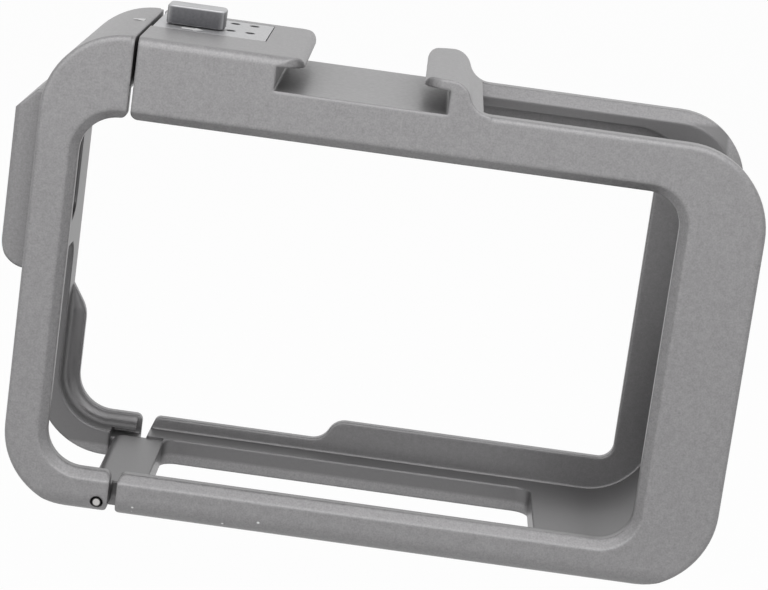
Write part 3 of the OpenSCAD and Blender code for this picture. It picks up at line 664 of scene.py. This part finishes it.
class CAGE_OT_thumb_tab(bpy.types.Operator):
    """Builds the thumb tab with its filleted corners and its neck"""

    bl_idname = "cage.thumb_tab"
    bl_label = "Thumb tab"

    def execute(self, context):
        s = context.scene.cage_latch
        low, high = (np.array(v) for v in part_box("thumb_tab"))
        gap, steps = 0.12 * MM, 8
        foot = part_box("latch_cover_plate")[1][2] + gap
        top = high[2]
        width, depth = high[0] - low[0], high[1] - low[1]
        middle = ((low[0] + high[0]) / 2, (low[1] + high[1]) / 2, 0)
        # The neck runs from the slider plate up through the cover plate's slot to the tab.
        neck_low, neck_high = np.array((-25.85, 2.4)) * MM, np.array((-23.45, 4.0)) * MM
        neck_size, neck_corner = neck_high - neck_low, 0.1 * MM
        away = (neck_low + neck_high) / 2 - middle[:2]
        x, y = rounded_plan(*neck_size, neck_corner, steps)
        rings = [(x + away[0], y + away[1], np.full_like(x, z)) for z in (low[2], foot)]
        edge = np.linspace(0, math.pi / 2, 7)
        # The tab's wall runs up plain. Each ring of the fillet is the plan drawn in by
        # r(1 - cos a) at the height top - r + r sin a, and the dish lowers the middle.
        for inset, z in [(gap, foot), (0.0, foot + gap), (0.0, top - s.fillet)]:
            x, y = rounded_plan(width - 2 * inset, depth - 2 * inset, s.corner - inset, steps)
            rings.append((x, y, np.full_like(x, z)))
        for a in edge[1:]:
            inset = s.fillet * (1 - math.cos(a))
            x, y = rounded_plan(width - 2 * inset, depth - 2 * inset, s.corner - inset * 0.9,
                                steps)
            rings.append((x, y, np.full_like(x, top - s.fillet + s.fillet * math.sin(a))))
        ring_x, ring_y, _ = rings[-1]
        for share in np.linspace(0.9, 0.1, 7):
            z = top - s.dish * (1 - share ** 2)
            rings.append((ring_x * share, ring_y * share, np.full_like(ring_x, z)))
        points = stack_rings(rings, middle)
        columns = len(ring_x)
        quads = grid_faces(len(rings), columns)
        bottom = np.arange(columns)[::-1]
        crown = np.arange((len(rings) - 1) * columns, len(rings) * columns)
        tab = put_mesh("thumb_tab_form", points, quads, [bottom, crown])
        smooth(tab, 40)
        tab.data.materials.append(tab_metal_with_painted_light(context))
        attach(tab, "latch")
        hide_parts("thumb_tab")
        return {"FINISHED"}


class CAGE_OT_cove(bpy.types.Operator):
    """Builds the hollow rounding along the foot of the door, on the lens side"""

    bl_idname = "cage.cove"
    bl_label = "Door's cove"

    def execute(self, context):
        s = context.scene.cage_cove
        wall, base, face = -35.35 * MM, 3.0 * MM, 13.0 * MM
        top, slant, lip, low, end = 19.4 * MM, 3.0 * MM, 1.9 * MM, 1.5 * MM, -25.9 * MM
        # The path runs down the wall, round a quarter circle and along the foot. Each point has
        # an inward way, and a share of the width that falls to zero at the slanted upper end.
        z = np.concatenate([np.linspace(top - 0.05 * MM, top - slant, 12),
                            np.linspace(top - slant, base + s.turn, 24)[1:]])
        phi = np.linspace(0, math.pi / 2, 28)[1:]
        x = np.linspace(wall + s.turn, end, 12)[1:]
        px = np.concatenate([np.full_like(z, wall), wall + s.turn * (1 - np.cos(phi)), x])
        pz = np.concatenate([z, base + s.turn * (1 - np.sin(phi)), np.full_like(x, base)])
        nx = np.concatenate([np.ones_like(z), np.cos(phi), np.zeros_like(x)])
        nz = np.concatenate([np.zeros_like(z), np.sin(phi), np.ones_like(x)])
        room = np.concatenate([np.full_like(z, lip), lip - (lip - low) * np.sin(phi),
                               np.full_like(x, low)])
        filled = 0.9  # share of the lip that the hollow takes
        room = filled * np.minimum(room, lip * np.maximum(top - pz, 0) / slant)
        share = np.minimum(room / s.width, 1.0)
        # Across, the hollow is a quarter ellipse about the point (width, -depth):
        # u = width (1 - sin a), v = -depth (1 - cos a), closed through the wall and the lip.
        a = np.linspace(0, math.pi / 2, 14)
        sink = 0.04 * MM
        u = np.concatenate([s.width * (1 - np.sin(a)), [0, 0, s.width]])
        v = np.concatenate([-s.depth * (1 - np.cos(a)), [-s.depth, 0, 0]])
        du = np.concatenate([np.zeros(14), [-sink, -sink, 0]])
        dv = np.concatenate([np.zeros(14), [0, sink, sink]])
        across = u[None] * share[:, None] + du[None]
        along_y = face + v[None] * share[:, None] + dv[None]
        points = np.stack([px[:, None] + nx[:, None] * across, along_y,
                           pz[:, None] + nz[:, None] * across], axis=2)
        rows, columns = across.shape
        quads = grid_faces(rows, columns)
        first = np.arange(columns)[::-1]
        last = np.arange((rows - 1) * columns, rows * columns)
        cove = put_mesh("door_cove", points.reshape(-1, 3), quads, [first, last])
        smooth(cove, 50)
        cove.data.materials.append(smooth_metal(context))
        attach(cove, "door")
        return {"FINISHED"}


class CAGE_OT_marks(bpy.types.Operator):
    """Prints the two direction marks: an arrow on the plate and a triangle on the door"""

    bl_idname = "cage.marks"
    bl_label = "Direction marks"

    def execute(self, context):
        s = context.scene.cage_marks
        paint = bpy.data.materials.new("Printed mark")
        paint.use_nodes = True
        shader = paint.node_tree.nodes["Principled BSDF"]
        shader.inputs["Roughness"].default_value = 0.6
        grain = paint.node_tree.nodes.new("ShaderNodeGroup")
        grain.node_tree = blast_group()
        grain.inputs["Colour"].default_value = (*s.paint, 1)
        grain.inputs["Mottle"].default_value = 0.15
        grain.inputs["Roughness"].default_value = 0.6
        paint.node_tree.links.new(grain.outputs["Colour"], shader.inputs["Base Color"])
        paint.node_tree.links.new(grain.outputs["Roughness"], shader.inputs["Roughness"])
        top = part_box("latch_cover_plate")[1][2]
        # Outlines on the top, x and y in millimetres, drawn up by the paint's thickness.
        arrow = np.array([(-24.95, -1.45), (-23.55, -1.45), (-23.6, -2.15), (-22.55, -0.9),
                          (-23.45, 0.1), (-23.5, -0.45), (-24.95, -0.45)])
        sign = np.array([(-30.65, 1.2), (-29.3, 0.2), (-29.3, 2.4)])
        for name, outline, body in (("arrow_mark", arrow, "frame"),
                                    ("triangle_mark", sign, "door")):
            flat = outline * MM
            low = np.column_stack([flat, np.full(len(flat), top - 0.01 * MM)])
            high = np.column_stack([flat, np.full(len(flat), top + s.layer)])
            count = len(flat)
            sides = [(i, (i + 1) % count, count + (i + 1) % count, count + i)
                     for i in range(count)]
            mark = put_mesh(name, np.concatenate([low, high]), np.array(sides),
                            [range(count - 1, -1, -1), range(count, 2 * count)])
            mark.data.materials.append(paint)
            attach(mark, body)
        return {"FINISHED"}


class CAGE_OT_stage(bpy.types.Operator):
    """Sets the floor, the lamps, the air and the camera"""

    bl_idname = "cage.stage"
    bl_label = "Stage"

    def execute(self, context):
        s = context.scene.cage_stage
        self.floor()
        self.lamp("Key", s.key, (-0.05, -0.22, 0.18), 0.45, 0.36)
        self.lamp("Fill", s.fill, (0.12, -0.07, 0.27), 0.40, 0.30)
        self.air(context, s.front, s.back)
        self.camera(context, s.lens)
        context.scene.view_settings.view_transform = "Standard"
        return {"FINISHED"}

    @staticmethod
    def background_share(tree):
        """One for a ray from the camera, and for one that a surface mirrors or lets through."""
        path = tree.nodes.new("ShaderNodeLightPath")
        seen = math_node(tree, "ADD", path.outputs["Is Camera Ray"], path.outputs["Is Glossy Ray"])
        seen = math_node(tree, "ADD", seen, path.outputs["Is Transmission Ray"])
        return math_node(tree, "MINIMUM", seen, 1.0)

    def floor(self):
        """A square sheet under the open door's lowest point: x, y = half * (u, v)."""
        half, low = 1.5, -0.019
        u = np.linspace(-1, 1, 5)
        x, y = np.meshgrid(u * half, u * half, indexing="xy")
        points = np.column_stack([x.ravel(), y.ravel(), np.full(x.size, low)])
        floor = put_mesh("studio_floor", points, grid_faces(5, 5, False))
        material = bpy.data.materials.new("Studio floor")
        material.use_nodes = True
        tree = material.node_tree
        shader = tree.nodes["Principled BSDF"]
        shader.inputs["Roughness"].default_value = 0.9
        shader.inputs["Specular IOR Level"].default_value = 0.1
        glow = tree.nodes.new("ShaderNodeEmission")
        glow.inputs["Color"].default_value = (1, 1, 1, 1)
        mix = tree.nodes.new("ShaderNodeMixShader")
        seen = self.background_share(tree)
        bounce, white = 0.08, 0.94
        tree.links.new(math_node(tree, "MULTIPLY_ADD", seen, white - bounce, bounce),
                       shader.inputs["Base Color"])
        share = math_node(tree, "MULTIPLY", seen, 0.97)
        tree.links.new(share, mix.inputs["Fac"])
        tree.links.new(shader.outputs[0], mix.inputs[1])
        tree.links.new(glow.outputs[0], mix.inputs[2])
        tree.links.new(mix.outputs[0], tree.nodes["Material Output"].inputs["Surface"])
        floor.data.materials.append(material)

    @staticmethod
    def lamp(name, power, place, width, height):
        """A soft rectangular lamp that faces the middle of the cage."""
        light = bpy.data.lights.new(name, "AREA")
        light.shape = "RECTANGLE"
        light.size, light.size_y = width, height
        light.energy = power
        lamp = bpy.data.objects.new(name, light)
        lamp.location = place
        aim = Vector((0, 0, 0.028)) - Vector(place)
        lamp.rotation_euler = aim.to_track_quat("-Z", "Y").to_euler()
        bpy.context.scene.collection.objects.link(lamp)

    def air(self, context, front, back):
        """Light from all round, weak from the camera's side and pale from the backdrop."""
        world = bpy.data.worlds.new("Studio air")
        world.use_nodes = True
        tree = world.node_tree
        lit = tree.nodes["Background"]
        lit.inputs["Color"].default_value = (1, 1, 1, 1)
        way = tree.nodes.new("ShaderNodeSeparateXYZ")
        tree.links.new(tree.nodes.new("ShaderNodeTexCoord").outputs["Generated"], way.inputs[0])
        span = tree.nodes.new("ShaderNodeMapRange")
        span.interpolation_type = "SMOOTHSTEP"
        span.inputs["From Min"].default_value = -0.45
        span.inputs["From Max"].default_value = 0.45
        span.inputs["To Min"].default_value = front
        span.inputs["To Max"].default_value = back
        tree.links.new(way.outputs["Y"], span.inputs["Value"])
        tree.links.new(span.outputs["Result"], lit.inputs["Strength"])
        seen = tree.nodes.new("ShaderNodeBackground")
        seen.inputs["Color"].default_value = (1, 1, 1, 1)
        seen.inputs["Strength"].default_value = 1.0
        mix = tree.nodes.new("ShaderNodeMixShader")
        tree.links.new(self.background_share(tree), mix.inputs["Fac"])
        tree.links.new(lit.outputs[0], mix.inputs[1])
        tree.links.new(seen.outputs[0], mix.inputs[2])
        tree.links.new(mix.outputs[0], tree.nodes["World Output"].inputs["Surface"])
        context.scene.world = world

    @staticmethod
    def camera(context, lens):
        """The camera's turn and place, as fitted to the straight edges of the photograph."""
        data = bpy.data.cameras.new("View")
        data.sensor_fit = "HORIZONTAL"
        data.sensor_width = 36.0
        data.lens = lens
        data.clip_start = 0.01
        data.clip_end = 10.0
        eye = bpy.data.objects.new("View", data)
        right = Vector((0.99056817, 0.03091407, 0.1334879))
        up = Vector((-0.13700883, 0.21059204, 0.9679254))
        back = Vector((0.00181102, -0.97708511, 0.21284127))
        turn = Matrix((right, up, back)).transposed().to_4x4()
        eye.matrix_world = Matrix.Translation((0.00188059, -0.29903579, 0.09111037)) @ turn
        context.scene.collection.objects.link(eye)
        context.scene.camera = eye


class CAGE_PT_panel(bpy.types.Panel):
    """Lists the steps and their settings in the sidebar"""

    bl_label = "Camera cage"
    bl_idname = "CAGE_PT_panel"
    bl_space_type = "VIEW_3D"
    bl_region_type = "UI"
    bl_category = "Cage"

    def draw(self, context):
        column = self.layout.column()
        for step in STEPS:
            column.operator(step.bl_idname)
        for group, fields in (
            (context.scene.cage_finish, ("frame_colour", "plate_colour", "steel_colour", "grain",
                                         "edge")),
            (context.scene.cage_latch, ("corner", "fillet", "dish")),
            (context.scene.cage_cove, ("width", "depth", "turn")),
            (context.scene.cage_marks, ("paint", "layer")),
            (context.scene.cage_stage, ("lens", "key", "fill", "front", "back")),
        ):
            box = column.box()
            for field in fields:
                box.prop(group, field)


STEPS = (CAGE_OT_body, CAGE_OT_inner_latch, CAGE_OT_cover, CAGE_OT_thumb_tab, CAGE_OT_cove,
         CAGE_OT_marks, CAGE_OT_stage)
GROUPS = (("cage_finish", CageFinish), ("cage_latch", CageLatch), ("cage_cove", CageCove),
          ("cage_marks", CageMarks), ("cage_stage", CageStage))


def register():
    for _, group in GROUPS:
        bpy.utils.register_class(group)
    for step in STEPS + (CAGE_PT_panel,):
        bpy.utils.register_class(step)
    for name, group in GROUPS:
        setattr(bpy.types.Scene, name, bpy.props.PointerProperty(type=group))


def unregister():
    for name, _ in GROUPS:
        delattr(bpy.types.Scene, name)
    for step in reversed(STEPS + (CAGE_PT_panel,)):
        bpy.utils.unregister_class(step)
    for _, group in reversed(GROUPS):
        bpy.utils.unregister_class(group)


def main():
    register()
    bpy.ops.cage.body()
    bpy.ops.cage.inner_latch()
    bpy.ops.cage.cover()
    bpy.ops.cage.thumb_tab()
    bpy.ops.cage.cove()
    bpy.ops.cage.marks()
    bpy.ops.cage.stage()


if __name__ == "__main__":
    main()
